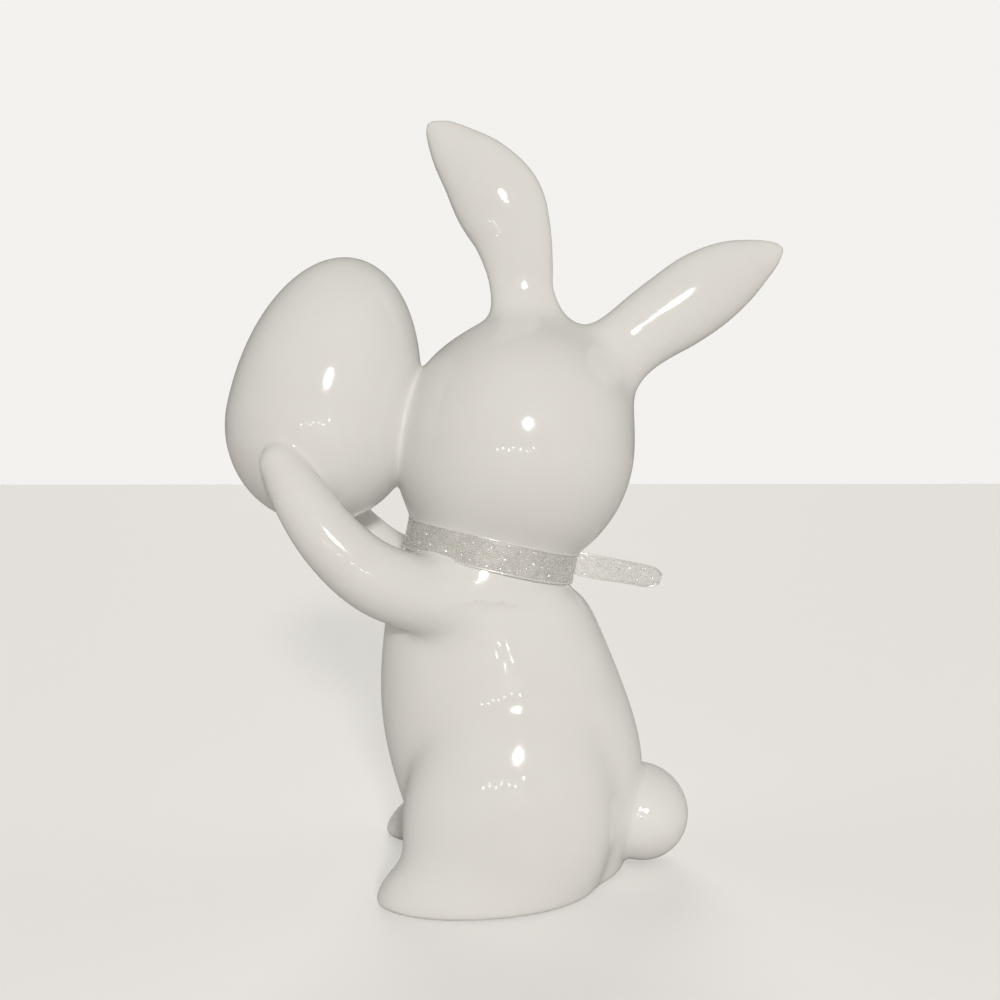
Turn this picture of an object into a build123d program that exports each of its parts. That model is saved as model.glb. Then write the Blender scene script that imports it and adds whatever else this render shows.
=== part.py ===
"""A glazed ceramic rabbit that hugs an egg, with a sheer ribbon tied round its neck.

The rabbit is put together from slip castings: a hollow torso, a hollow head, a hollow egg
and solid legs, arms, ears and tail. Each casting is trimmed to the one that carries it and
they meet face to face. The ribbon is the only loose thing: it turns round the neck.

Frame: +Z up, the rabbit faces -Y, its left side is +X. The origin is the middle of the base.
Lengths are millimetres and angles are degrees.
"""

import math
import os

from build123d import *

# Castings in general. Curves are followed in steps that are a share of their length
wall = 4.0
vent_diameter = 3.2
cut_overrun = 6.0
step_share = 0.02

# Torso
torso_height = 106.8
torso_depth = 90.0
torso_width = 64.0
torso_back_lean = 3.5
base_thickness = 5.0
vent_from_centre = 18.0

# Neck: the head and the torso meet in its middle, under the ribbon
neck_radius = 28.6
neck_tilt = 12.8
neck_forward = 3.1
neck_half_length = 6.2
neck_most_share = 0.95
shoulder_overhang = 5.2
shoulder_depth = 7.2

# Head
head_radius = 40.2
head_half_height = 41.8

# Egg: blunt end down
egg_radius = 31.0
egg_blunt_height = 32.9
egg_point_height = 55.6
egg_tilt = 12.4
egg_bite = 7.3
egg_lift = 6.1

# Ears. A root angle is the place on the head and a lean the ear's direction, both from +Y up
ear_thickness = 15.5
ear_root_width = 17.6
ear_root_flare = 5.6
ear_root_depth = 7.0
ear_side_offset = 2.5
forward_ear_root = 82.5
forward_ear_lean = 117.1
forward_ear_length = 72.4
forward_ear_width = 29.7
forward_ear_bow = 8.6
rear_ear_root = 42.7
rear_ear_lean = 33.5
rear_ear_length = 71.8
rear_ear_width = 26.9
rear_ear_bow = 2.4

# Arms
arm_radius = 11.3
paw_radius = 6.2
arm_sag = 11.4
arm_spread = 8.6
shoulder_drop = 14.2
shoulder_inset = 17.5
shoulder_forward = 8.0
paw_forward = 8.8
paw_down = 13.4
paw_side = 28.2

# Legs
haunch_width = 39.0
haunch_depth = 66.0
haunch_height = 81.0
haunch_sink = 24.0
haunch_back = 2.4
haunch_lean = 10.0
haunch_inset = 13.8
foot_width = 27.4
foot_length = 56.0
foot_height = 17.0
foot_inset = 6.0
foot_forward = 12.0

# Tail
tail_width = 32.0
tail_depth = 33.0
tail_height = 32.0
tail_ground_gap = 0.3
tail_bite = 17.0

# Ribbon
ribbon_width = 10.0
ribbon_thickness = 0.5
ribbon_play = 0.3
knot_width = 9.0
knot_depth = 5.6
knot_height = 11.6
knot_angle = 35.0
tail_corner_radius = 2.6
back_tail_length = 37.0
back_tail_turn = 42.0
back_tail_rise = 3.0
back_tail_sweep = 95.0
side_tail_length = 34.0
side_tail_turn = -50.0
side_tail_rise = -9.0
side_tail_sweep = 80.0

# Torso sections from the ground up. Heights and half lengths are shares of the torso's
# height and depth, the half widths are shares of its width, and the centre's place is a
# share of the lean, towards the back.
torso_section_shares = [
    # height, half depth, half width, centre
    (0.000, 0.372, 0.430, 2.14),
    (0.030, 0.388, 0.450, 2.20),
    (0.105, 0.416, 0.478, 2.26),
    (0.215, 0.448, 0.500, 2.14),
    (0.335, 0.476, 0.504, 1.70),
    (0.470, 0.474, 0.495, 0.86),
    (0.600, 0.450, 0.480, 0.05),
    (0.730, 0.410, 0.466, -0.62),
]

# Ear sections from the root to the tip: place along the ear, bow and width
forward_ear_shares = [
    (0.150, 0.28, 0.69),
    (0.280, 0.65, 0.77),
    (0.420, 0.93, 0.89),
    (0.560, 1.00, 1.00),
    (0.700, 0.83, 0.85),
    (0.820, 0.50, 0.63),
    (0.910, 0.27, 0.42),
    (0.965, 0.08, 0.23),
    (1.000, 0.00, 0.07),
]
rear_ear_shares = [
    (0.150, 0.65, 0.88),
    (0.280, 0.92, 0.93),
    (0.420, 0.96, 0.99),
    (0.560, 1.00, 1.00),
    (0.700, 0.90, 0.87),
    (0.820, 0.62, 0.63),
    (0.910, 0.18, 0.42),
    (0.965, 0.03, 0.21),
    (1.000, 0.00, 0.08),
]

# Arm sections from the shoulder to the paw: place along the arm and radius. The arm's bow is
# a half wave whose place is raised to a power, which puts its top nearer the shoulder.
arm_bow_power = 0.9
arm_section_shares = [
    (0.00, 0.96),
    (0.18, 0.90),
    (0.33, 1.00),
    (0.48, 0.93),
    (0.66, 0.84),
    (0.83, 0.74),
]


def neck_plane(height=0.0):
    """The plane across the neck at a height along its axis, with local Y to the back."""
    tilt = math.radians(neck_tilt)
    axis = Vector(0, math.sin(tilt), math.cos(tilt))
    centre = Vector(0, -neck_forward, torso_height) + axis * height
    return Plane(origin=centre, x_dir=(1, 0, 0), z_dir=axis)


def ellipsoid(centre, half_sizes):
    """A ball stretched to three half sizes."""
    return Pos(*centre) * scale(Sphere(1), by=half_sizes)


def head_centre():
    """On the neck's axis, where the ball meets the neck's upper rim."""
    ratio = min(neck_radius / head_radius, neck_most_share)
    rise = neck_half_length + head_half_height * math.sqrt(1 - ratio**2)
    return neck_plane(rise).origin


def egg_centre():
    """The egg's widest point on its axis, so far from the head that the two overlap."""
    reach = head_radius + egg_radius - egg_bite
    lift = math.radians(egg_lift)
    return head_centre() + Vector(0, -math.cos(lift), math.sin(lift)) * reach


def torso_solid(inset, floor):
    """The torso's outer form, or with an inset its cavity, up to the neck's middle."""
    radius = neck_radius - inset
    sections = []
    for height, half_depth, half_width, centre in torso_section_shares:
        level = max(height * torso_height, floor)
        if sections and level <= floor:
            continue
        place = Plane(origin=(0, centre * torso_back_lean, level))
        half_sizes = (half_width * torso_width, half_depth * torso_depth)
        sections.append(place * Ellipse(*(size - inset for size in half_sizes)))
    shoulder = neck_plane(-neck_half_length - shoulder_depth)
    sections.append(shoulder * Ellipse(radius, radius + shoulder_overhang))
    rim = neck_plane(-neck_half_length)
    sections.append(rim * Circle(radius))
    collar = extrude(rim * Circle(radius), neck_half_length)
    return loft(sections) + collar


def cavity_end(rise):
    """A cutter that keeps what lies below the neck's middle plane less the wall, or above."""
    reach = torso_height + torso_depth
    return extrude(neck_plane(math.copysign(wall, rise)) * Rectangle(reach, reach), -rise * reach)


def torso_shell():
    """The hollow, closed torso casting, with a vent in its flat base and one in its neck."""
    cavity = torso_solid(wall, base_thickness) - cavity_end(-1)
    base_vent = Pos(0, vent_from_centre, base_thickness / 2) * Cylinder(
        vent_diameter / 2, base_thickness + cut_overrun
    )
    return torso_solid(0, 0) - cavity - base_vent - neck_vent()


def neck_vent():
    """The air hole between the torso and the head."""
    low = neck_plane(-wall - cut_overrun)
    return extrude(low * Circle(vent_diameter / 2), 2 * (wall + cut_overrun))


def head_solid(inset):
    """The head's ball on its short neck, grown or shrunk by an inset."""
    joint = neck_plane()
    half_height = head_half_height - inset
    ball_radius = head_radius - inset
    ball = Plane(origin=head_centre(), x_dir=joint.x_dir, z_dir=joint.z_dir) * scale(
        Sphere(1), by=(ball_radius, ball_radius, half_height)
    )
    collar = extrude(joint * Circle(neck_radius - inset), neck_half_length + wall)
    below = extrude(joint * Circle(head_radius + cut_overrun), -head_radius)
    return ball + collar - below


def head_shell():
    """The hollow, closed head casting, with air holes into the torso and the egg."""
    cavity = head_solid(wall) - cavity_end(1)
    return head_solid(0) - cavity - neck_vent() - egg_vent()


def egg_solid(inset):
    """The egg's outer form, or with an inset its cavity: two half ellipsoids."""
    radius = egg_radius - inset
    point = scale(Sphere(1), by=(radius, radius, egg_point_height - inset))
    blunt = scale(Sphere(1), by=(radius, radius, egg_blunt_height - inset))
    reach = 2 * (egg_radius + egg_point_height)
    above = Pos(0, 0, reach / 2) * Box(reach, reach, reach)
    return Pos(*egg_centre()) * Rot(-egg_tilt, 0, 0) * ((point & above) + (blunt - above))


def egg_vent():
    """The air hole between the head and the egg."""
    towards_egg = (egg_centre() - head_centre()).normalized()
    start = head_centre() + towards_egg * (head_radius - wall - cut_overrun)
    length = 2 * (wall + cut_overrun)
    return extrude(Plane(origin=start, z_dir=towards_egg) * Circle(vent_diameter / 2), length)


def egg_shell():
    """The hollow, closed egg casting, hollowed to fit the head where it is seated on it."""
    cavity = egg_solid(wall) - head_solid(-wall)
    return egg_solid(0) - head_solid(0) - cavity - egg_vent()


def ear(root_angle, lean, length, width, bow, shares):
    """One ear, from its flared root on the head to its rounded tip."""
    root_direction = math.radians(root_angle)
    lean_direction = math.radians(lean)
    outward = Vector(0, math.cos(root_direction), math.sin(root_direction))
    along = Vector(0, math.cos(lean_direction), math.sin(lean_direction))
    across = Vector(0, math.sin(lean_direction), -math.cos(lean_direction))
    if lean < math.degrees(math.pi / 2):
        across = -across
    surface = head_centre() + outward * ((head_radius + head_half_height) / 2)
    root = surface + Vector(ear_side_offset, 0, 0)
    slimness = ear_thickness / width

    def section(centre, heading, half_width, flare=0.0):
        plane = Plane(origin=centre, x_dir=(1, 0, 0), z_dir=heading)
        return plane * Ellipse(half_width * slimness + flare, half_width + flare)

    points = [root + along * (place * length) + across * (lift * bow) for place, lift, _ in shares]
    sections = [
        section(root - outward * ear_root_depth, outward, ear_root_width / 2, ear_root_flare),
        section(root, outward, ear_root_width / 2, ear_root_flare / 2),
    ]
    for index, (_, _, width_share) in enumerate(shares):
        before = points[index - 1] if index else root
        after = points[min(index + 1, len(points) - 1)]
        heading = (after - before).normalized()
        sections.append(section(points[index], heading, width_share * width / 2))
    return loft(sections) - head_solid(0)


def forward_ear():
    """The ear that stands up and bends forward."""
    return ear(
        forward_ear_root,
        forward_ear_lean,
        forward_ear_length,
        forward_ear_width,
        forward_ear_bow,
        forward_ear_shares,
    )


def rear_ear():
    """The ear that is swept back, trimmed to the other where their roots meet."""
    return ear(
        rear_ear_root,
        rear_ear_lean,
        rear_ear_length,
        rear_ear_width,
        rear_ear_bow,
        rear_ear_shares,
    ) - forward_ear()


def arm_point(place):
    """A point on the left arm's middle line, from the shoulder at 0 to the paw at 1."""
    shoulder = Vector(
        torso_width / 2 - shoulder_inset, -shoulder_forward, torso_height - shoulder_drop
    )
    paw = egg_centre() + Vector(paw_side, -paw_forward, -paw_down)
    chord = paw - shoulder
    down = Vector(1, 0, 0).cross(chord).normalized()
    if down.Z > 0:
        down = -down
    bow = math.sin(math.pi * place**arm_bow_power)
    return shoulder + chord * place + down * (bow * arm_sag) + Vector(bow * arm_spread, 0, 0)


def left_arm():
    """A tapering arm from the shoulder, round the egg's side, to the paw that holds it."""
    sections = []
    for place, radius_share in arm_section_shares:
        heading = arm_point(place + step_share) - arm_point(place)
        plane = Plane(origin=arm_point(place), x_dir=(1, 0, 0), z_dir=heading.normalized())
        sections.append(plane * Circle(radius_share * arm_radius))
    heading = (arm_point(1) - arm_point(1 - step_share)).normalized()
    wrist = Plane(origin=arm_point(1), x_dir=(1, 0, 0), z_dir=heading)
    sections.append(wrist * Circle(paw_radius))
    paw = Pos(*arm_point(1)) * Sphere(paw_radius)
    solid = loft(sections) + paw
    return solid - torso_solid(0, 0) - egg_solid(0) - head_solid(0)


def left_leg():
    """The haunch and its foot, with a flat sole, luted to the torso's side."""
    haunch = ellipsoid(
        (0, 0, 0), (haunch_width / 2, haunch_depth / 2, haunch_height - haunch_sink)
    )
    haunch = Pos(torso_width / 2 - haunch_inset, haunch_back, haunch_sink) * Rot(-haunch_lean, 0, 0) * haunch
    foot = ellipsoid(
        (torso_width / 2 - foot_inset, -foot_forward, 0),
        (foot_width / 2, foot_length / 2, foot_height),
    )
    reach = haunch_depth + foot_length
    under = Pos(0, 0, -reach / 2) * Box(2 * reach, 2 * reach, reach)
    middle = Pos(-reach / 2, 0, 0) * Box(reach, 2 * reach, 2 * haunch_height + reach)
    return haunch + foot - under - middle - torso_solid(0, 0)


def bob_tail():
    """The round tail, luted to the back just clear of the ground."""
    back = max(
        centre * torso_back_lean + half_depth * torso_depth
        for _, half_depth, _, centre in torso_section_shares[:4]
    )
    centre = (0, back - tail_bite + tail_depth / 2, tail_ground_gap + tail_height / 2)
    ball = ellipsoid(centre, (tail_width / 2, tail_depth / 2, tail_height / 2))
    return ball - torso_solid(0, 0) - left_leg() - mirror(left_leg(), Plane.YZ)


def band_radius():
    """The ribbon's inner radius round the neck."""
    return neck_radius + ribbon_play


def ribbon_band():
    """The turn of ribbon round the neck."""
    low = neck_plane(-ribbon_width / 2)
    ring = Circle(band_radius() + ribbon_thickness) - Circle(band_radius())
    return extrude(low * ring, ribbon_width)


def knot_plane():
    """At the knot, with local Y away from the neck and local Z along the neck's axis."""
    angle = math.radians(knot_angle)
    neck = neck_plane()
    outward = neck.y_dir * math.cos(angle) - neck.x_dir * math.sin(angle)
    centre = neck.origin + outward * (band_radius() + ribbon_thickness + knot_depth / 2)
    return Plane(origin=centre, x_dir=outward.cross(neck.z_dir), z_dir=neck.z_dir)


def ribbon_knot():
    """The flat knot outside the band."""
    bulge = knot_depth / 3
    block = Box(knot_width, knot_depth, knot_height)
    block = fillet(block.edges(), bulge)
    low = neck_plane(-knot_height)
    core = extrude(low * Circle(band_radius() + ribbon_thickness), 2 * knot_height)
    block = knot_plane() * Pos(0, -bulge, 0) * block
    return block - core


def ribbon_tail(length, turn, rise, sweep):
    """A stiff end of ribbon that leaves the knot in a gentle arc. Turn is measured from the
    knot's outward direction, rise from the neck's plane, and sweep is the arc's radius."""
    place = knot_plane() * Rot(0, 0, -turn) * Rot(rise, 0, 0)
    bend = math.copysign(1, turn)
    turned = math.degrees(length / sweep)
    centre = (bend * sweep, 0)
    start = 180 if bend > 0 else 0
    outer = CenterArc(centre, sweep + ribbon_thickness / 2, start, -bend * turned)
    inner = CenterArc(centre, sweep - ribbon_thickness / 2, start, -bend * turned)
    ends = [Line(outer @ 0, inner @ 0), Line(outer @ 1, inner @ 1)]
    strip = extrude(make_face([outer, inner, *ends]), ribbon_width / 2, both=True)
    far_edges = strip.edges().filter_by(lambda edge: edge.length < 2 * ribbon_thickness)
    far_edges = far_edges.sort_by(Axis.Y)[-2:]
    strip = fillet(far_edges, tail_corner_radius)
    return place * strip - ribbon_knot() - ribbon_band()


def build():
    """Every node's solid under its name."""
    arm, leg = left_arm(), left_leg()
    return {
        "torso_shell": torso_shell(),
        "head_shell": head_shell(),
        "egg_shell": egg_shell(),
        "forward_ear": forward_ear(),
        "rear_ear": rear_ear(),
        "left_arm": arm,
        "right_arm": mirror(arm, Plane.YZ),
        "left_leg": leg,
        "right_leg": mirror(leg, Plane.YZ),
        "bob_tail": bob_tail(),
        "ribbon_band": ribbon_band(),
        "ribbon_knot": ribbon_knot(),
        "ribbon_tail_back": ribbon_tail(
            back_tail_length, back_tail_turn, back_tail_rise, back_tail_sweep
        ),
        "ribbon_tail_side": ribbon_tail(
            side_tail_length, side_tail_turn, side_tail_rise, side_tail_sweep
        ),
    }


def main():
    os.makedirs("parts", exist_ok=True)
    for name, solid in build().items():
        export_step(solid, f"parts/{name}.step")


main()
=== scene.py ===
import math

import bpy
import numpy as np
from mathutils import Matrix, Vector


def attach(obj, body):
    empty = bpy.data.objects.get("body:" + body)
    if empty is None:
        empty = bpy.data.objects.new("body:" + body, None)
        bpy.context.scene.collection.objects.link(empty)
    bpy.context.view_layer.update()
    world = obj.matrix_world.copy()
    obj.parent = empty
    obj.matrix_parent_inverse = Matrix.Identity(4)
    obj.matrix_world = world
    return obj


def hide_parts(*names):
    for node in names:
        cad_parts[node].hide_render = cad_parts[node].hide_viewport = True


# A glazed ceramic rabbit that hugs an egg, with a sheer glittered ribbon round its neck.
# The castings are one smooth skin, modelled as the zero level of a distance field, which is
# then cut into the castings where they are joined. The ribbon is modelled as woven cloth.
# Lengths are metres, angles degrees. +Z is up and the rabbit faces -Y.

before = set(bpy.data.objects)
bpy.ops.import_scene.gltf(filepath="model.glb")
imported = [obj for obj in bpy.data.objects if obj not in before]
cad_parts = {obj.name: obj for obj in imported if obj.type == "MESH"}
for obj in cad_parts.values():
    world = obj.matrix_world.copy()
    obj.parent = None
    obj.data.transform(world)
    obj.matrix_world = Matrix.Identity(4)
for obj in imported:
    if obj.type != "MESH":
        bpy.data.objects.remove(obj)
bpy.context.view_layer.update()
mm = 0.001
rng = np.random.default_rng(11)

# Torso
TORSO_HEIGHT = 106.8 * mm
TORSO_DEPTH = 90.0 * mm
TORSO_WIDTH = 64.0 * mm
TORSO_LEAN = 3.5 * mm
TORSO_BLUR = 6.0 * mm
TORSO_STEP = 0.5 * mm
TORSO_BELOW = 30 * mm
TORSO_ABOVE = 40 * mm

# Air hole in the sole
VENT_RADIUS = 1.6 * mm
VENT_PLACE = 18.0 * mm
VENT_DEPTH = 5.0 * mm

# Neck
NECK_RADIUS = 28.0 * mm
NECK_TILT = 12.8
NECK_CENTRE = np.array([0.0, -3.1, 106.8]) * mm
NECK_HALF_HEIGHT = 12 * mm
SHOULDER_LEVEL = -6.2 * mm
SHOULDER_ROUNDING = 13.0 * mm

# Head and egg. The egg is two half ellipsoids, of these heights.
HEAD_CENTRE = np.array([0.0, 4.8, 140.6]) * mm
HEAD_RADII = np.array([39.9, 39.9, 42.6]) * mm
EGG_CENTRE = np.array([0.0, -58.8, 148.3]) * mm
EGG_RADIUS = 31.0 * mm
EGG_BLUNT = 32.9 * mm
EGG_POINT = 55.6 * mm
EGG_TILT = 12.4

# Ears
EAR_SIDE = 2.5 * mm
EAR_ROOT_DEPTH = 1.0 * mm
EAR_THICKNESS = 15.5 * mm
EAR_SINK = 8.0 * mm

# Arms
SHOULDER = np.array([14.5, -8.0, 91.8]) * mm
PAW = np.array([28.2, -67.6, 134.9]) * mm
ARM_RADIUS = 11.3 * mm
PAW_RADIUS = 6.2 * mm
ARM_SAG = 11.4 * mm
ARM_SPREAD = 8.6 * mm
ARM_BOW_SKEW = 0.9

# Legs
HAUNCH_CENTRE = np.array([20.4, 1.0, 23.0]) * mm
HAUNCH_RADII = np.array([19.8, 33.0, 42.5]) * mm
HAUNCH_LEAN = 5.0
FOOT_CENTRE = np.array([26.0, -12.0, 0.0]) * mm
FOOT_RADII = np.array([13.7, 28.0, 17.0]) * mm

# Tail
TAIL_CENTRE = np.array([0.0, 48.0, 16.3]) * mm
TAIL_RADII = np.array([16.0, 16.5, 16.0]) * mm

# How far the rounding of each joint reaches
ARM_FILLET = 12.0 * mm
HAUNCH_FILLET = 7.0 * mm
FOOT_FILLET = 9.0 * mm
EAR_FILLET = 19.0 * mm
NECK_FILLET = 5.0 * mm
SEAM_FILLET = 3.2 * mm
TAIL_FILLET = 4.0 * mm
SOLE_ROUNDING = 3.5 * mm

# Height of the skin's slow waves
WAVE_HEIGHT = 0.045 * mm

# Steps along an arm and an ear
ARM_STEPS = 60
EAR_STEPS = 70

# Grid of the skin: its box, its cell, how many cells a coarse one spans, how many coarse cells
# from the skin it is worked out finely, and the step over which a slope is measured
SKIN_LOW = np.array([-50.0, -100.0, -6.0]) * mm
SKIN_HIGH = np.array([50.0, 104.0, 258.0]) * mm
CELL = 1.0 * mm
COARSE = 4
NEAR_CELLS = 2.2
SLOPE_STEP = 0.25 * mm

# How far from a tube its field is worked out, and how many points and parts are done at a time
FAR = 24 * mm
TUBE_BATCH = 60000
GRID_PARTS = 12

# Rounds of evening out the skin's triangles, and the least share of an edge that a cut leaves
RELAX_ROUNDS = 3
CUT_MARGIN = 0.03

# The castings in the order in which they are cut from the skin
CUT_ORDER = [
    "egg_shell", "forward_ear", "rear_ear", "left_arm", "right_arm", "left_leg", "right_leg",
    "bob_tail",
]

# Ribbon. Angles round the neck are from the nape towards the rabbit's right side. Thread
# pitches along and across it are in mm. A tail twists from the first to the second angle.
RIBBON_WIDTH = 10.0 * mm
RIBBON_RADIUS = 29.05 * mm
RIBBON_THICKNESS = 0.12 * mm
RIBBON_POINTS_ACROSS = 9
THREAD_PITCHES = (("X", 0.42), ("Y", 0.5))
SELVEDGE_RADIUS = 0.36 * mm
SELVEDGE_SIDES = 7
SELVEDGE_TAPER = 0.4
BAND_POINTS = 200
BAND_NARROWING = 0.3
BAND_NARROWED_ANGLE = 9.0
KNOT_ANGLE = 35.0
KNOT_HALF_DEPTH = 2.6 * mm
KNOT_HALF_HEIGHT = 5.3 * mm
KNOT_WIDTH = 7.5 * mm
KNOT_FROM_AXIS = 32.2 * mm
KNOT_PLEAT_DEPTH = 0.07
KNOT_PLEAT_PITCH = 11.0
KNOT_POINTS_AROUND = 48
KNOT_POINTS_ACROSS = 17
TAIL_POINTS = 70
TAIL_TWIST = (30.0, 46.0)
TAIL_GATHER = 9 * mm
TAIL_TIP = 5.0 * mm
BACK_TAIL_LENGTH = 37 * mm
SIDE_TAIL_LENGTH = 34 * mm

# Glitter: the flakes on a piece, their least and greatest radius in mm, how far they tip, how
# high they lie, how thick they are, how far from the ribbon's middle they reach as a share of
# its width, the like for those along its edges, and the share that lies there
BAND_FLAKES = 6500
TAIL_FLAKES = 1300
FLAKE_RADII = (0.08, 0.19)
FLAKE_TIPPING = 0.5
FLAKE_LIFT = 0.12 * mm
FLAKE_THICKNESS = 0.04 * mm
GLITTER_REACH = 0.48
EDGE_GLITTER_REACH = (0.45, 0.5)
EDGE_GLITTER_SHARE = 0.3

# Colours, as stops of a ramp from a dark patch to a light one
GLAZE_SHADES = [(0.3, (0.80, 0.795, 0.78)), (0.7, (0.83, 0.83, 0.82))]
CLAY_SHADES = [(0.35, (0.72, 0.69, 0.64)), (0.65, (0.78, 0.76, 0.72))]
CLOTH_SHADES = [(0.3, (0.74, 0.73, 0.70)), (0.7, (0.90, 0.89, 0.87))]
THREAD_SHADES = [(0.3, (0.82, 0.81, 0.79)), (0.7, (0.95, 0.94, 0.92))]
FLAKE_SHADES = [(0.3, (0.82, 0.82, 0.80)), (0.7, (0.97, 0.97, 0.96))]
GLAZE_IOR = 1.52
BARE_BELOW = 0.35 * mm

# Lights: their strengths, and the small lamps' angles from +X towards +Y and up
LIGHT_TARGET = Vector((0.0, 0.0, 0.12))
KEY_LIGHT = 1.85
FAR_LIGHT = 1.6
FRONT_LIGHT = 0.45
REAR_LIGHT = 0.35
SURROUND_LIGHT = 0.22
FLOOR_GLOW = 0.4
GLINT_LIGHT = 0.04
GLINT_SIZE = 0.01
GLINT_COLOUR = (1.0, 0.97, 0.92)
KEY_AZIMUTH = 7.5
KEY_HEIGHT = 18.0
KEY_SPREAD = 7.5
KEY_COLOUR = (1.0, 0.965, 0.91)
SUN_COLOUR = (1.0, 0.98, 0.95)
SUN_SPREAD = 40.0
SUN_HEIGHT = 25.0
GLINTS = [
    (-19.0, -1.5), (-13.5, -0.5), (-9.0, -2.0), (-5.0, 0.0), (1.0, -1.0), (6.0, -2.5), (12.0, 0.5),
]
FLOOR_SIZE = 12.0
FLOOR_DROP = 0.05 * mm

# Camera: its angle from -Y towards +X, how far it looks down, and its lens in pixels
CAMERA_AZIMUTH = 86.0
CAMERA_PITCH = 1.66
CAMERA_DISTANCE = 290 * mm
CAMERA_HEIGHT = 131.6 * mm
PHOTO_WIDTH = 1000
FOCAL_PIXELS = 861
SENSOR_WIDTH = 36.0
NEAREST_SEEN = 0.01

# Torso sections from the ground up: height, half depth, half width and centre, as shares of
# the torso's height, depth, width and lean
TORSO_SHARES = np.array([
    (0.000, 0.372, 0.425, 2.14),
    (0.030, 0.388, 0.440, 2.20),
    (0.105, 0.416, 0.455, 2.26),
    (0.215, 0.448, 0.465, 2.14),
    (0.335, 0.476, 0.470, 1.70),
    (0.470, 0.474, 0.480, 0.86),
    (0.600, 0.450, 0.482, 0.05),
    (0.730, 0.410, 0.460, -0.62),
    (0.860, 0.366, 0.428, -1.28),
    (1.000, 0.325, 0.440, -1.50),
])

# Ears: the root on the head and the ear's direction, both as angles from +Y up, and its sizes.
# Their sections from the root to the tip: place along the ear, bow and width, as shares.
FORWARD_EAR = {
    "root": 82.5, "lean": 117.1, "length": 72.4 * mm, "width": 29.7 * mm, "bow": 8.6 * mm,
}
FORWARD_EAR_SHARES = [
    (-0.12, -0.20, 0.72),
    (0.000, 0.00, 0.63),
    (0.150, 0.28, 0.68),
    (0.280, 0.65, 0.77),
    (0.420, 0.93, 0.89),
    (0.560, 1.00, 1.00),
    (0.700, 0.83, 0.85),
    (0.820, 0.50, 0.63),
    (0.910, 0.27, 0.42),
    (0.965, 0.08, 0.23),
    (1.000, 0.00, 0.08),
]
REAR_EAR = {
    "root": 42.7, "lean": 33.5, "length": 71.8 * mm, "width": 26.9 * mm, "bow": -2.4 * mm,
}
REAR_EAR_SHARES = [
    (-0.12, 0.00, 0.90),
    (0.000, 0.00, 0.85),
    (0.150, 0.65, 0.88),
    (0.280, 0.92, 0.93),
    (0.420, 0.90, 0.99),
    (0.560, 1.00, 1.00),
    (0.700, 0.93, 0.87),
    (0.820, 0.64, 0.63),
    (0.910, 0.30, 0.41),
    (0.965, 0.12, 0.22),
    (1.000, 0.00, 0.09),
]

# Arm sections from the shoulder to the paw: place along the arm and radius, as shares
ARM_SHARES = [(0.0, 0.98), (0.18, 0.95), (0.33, 1.0), (0.48, 0.93), (0.66, 0.84), (0.83, 0.74)]


# Small maths

def unit(vector):
    """A vector, or each of a list of them, at length 1."""
    vector = np.asarray(vector, float)
    return vector / np.linalg.norm(vector, axis=-1, keepdims=True)


def direction(angle):
    """The direction in the middle plane at an angle from +Y, upwards."""
    return np.array([0.0, math.cos(math.radians(angle)), math.sin(math.radians(angle))])


NECK_AXIS = direction(90.0 - NECK_TILT)


def smooth_line(rows, count):
    """Rows of numbers as count rows on a smooth curve through them, evenly spaced in length."""
    rows = np.asarray(rows, float)
    before = np.vstack([2 * rows[0] - rows[1], rows[:-1]])
    after = np.vstack([rows[1:], 2 * rows[-1] - rows[-2]])
    slope = (after - before) / 2
    place = np.linspace(0, len(rows) - 1, count)
    index = np.minimum(place.astype(int), len(rows) - 2)
    t = (place - index)[:, None]
    a, b, da, db = rows[index], rows[index + 1], slope[index], slope[index + 1]
    return (
        (2 * t**3 - 3 * t**2 + 1) * a + (t**3 - 2 * t**2 + t) * da
        + (3 * t**2 - 2 * t**3) * b + (t**3 - t**2) * db
    )


# Distance fields: below zero inside, above zero outside

def tilted(points, tilt):
    """Points in the frame of something whose top leans back by an angle."""
    c, s = math.cos(math.radians(tilt)), math.sin(math.radians(tilt))
    x, y, z = points.T
    return np.stack([x, y * c - z * s, y * s + z * c], 1)


def stretched_ball(local, radii):
    """The field of a ball of these radii about the origin."""
    near = np.linalg.norm(local / radii, axis=1)
    rate = np.linalg.norm(local / radii**2, axis=1)
    return near * (near - 1) / np.maximum(rate, 1e-6)


def ellipsoid(points, centre, radii, tilt=0.0):
    return stretched_ball(tilted(points - centre, tilt), radii)


def egg(points):
    """Two half ellipsoids, blunt end down."""
    local = tilted(points - EGG_CENTRE, EGG_TILT)
    radius = np.full(len(local), EGG_RADIUS)
    length = np.where(local[:, 2] > 0, EGG_POINT, EGG_BLUNT)
    return stretched_ball(local, np.stack([radius, radius, length], 1))


def nearest(points, line, radii):
    """For each point, the ball on a line of balls whose surface is nearest."""
    squares = (points**2).sum(1)[:, None] + (line**2).sum(1) - 2 * points @ line.T
    return np.argmin(np.sqrt(np.maximum(squares, 0)) - radii, axis=1)


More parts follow.
